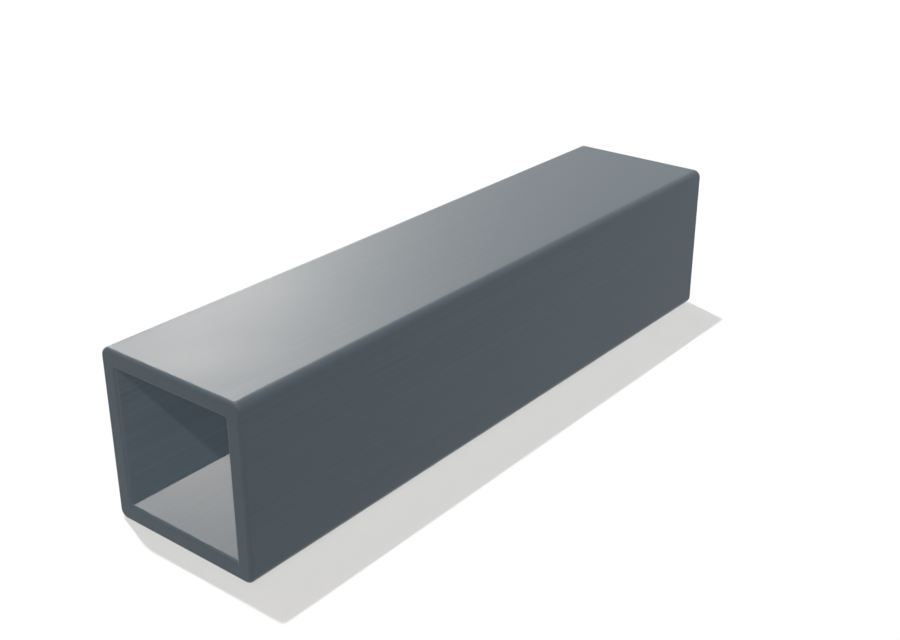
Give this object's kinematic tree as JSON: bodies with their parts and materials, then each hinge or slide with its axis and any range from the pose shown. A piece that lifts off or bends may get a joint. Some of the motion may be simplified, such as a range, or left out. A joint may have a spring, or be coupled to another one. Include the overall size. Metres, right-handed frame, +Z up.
{
  "type": "square metal tube",
  "caption": "Short length of thick-walled square metal tube, open at both ends, with rounded long corners and eased cut edges.",
  "frame": {"origin": "centre of the flat underside, on the floor", "axes": "+X along the length of the tube, +Y across it, +Z up"},
  "size_m": [0.217, 0.05, 0.05],
  "materials": {
    "tube_metal": "satin"
  },
  "bodies": {
    "root": {"square_tube": "tube_metal"}
  },
  "joints": []
}
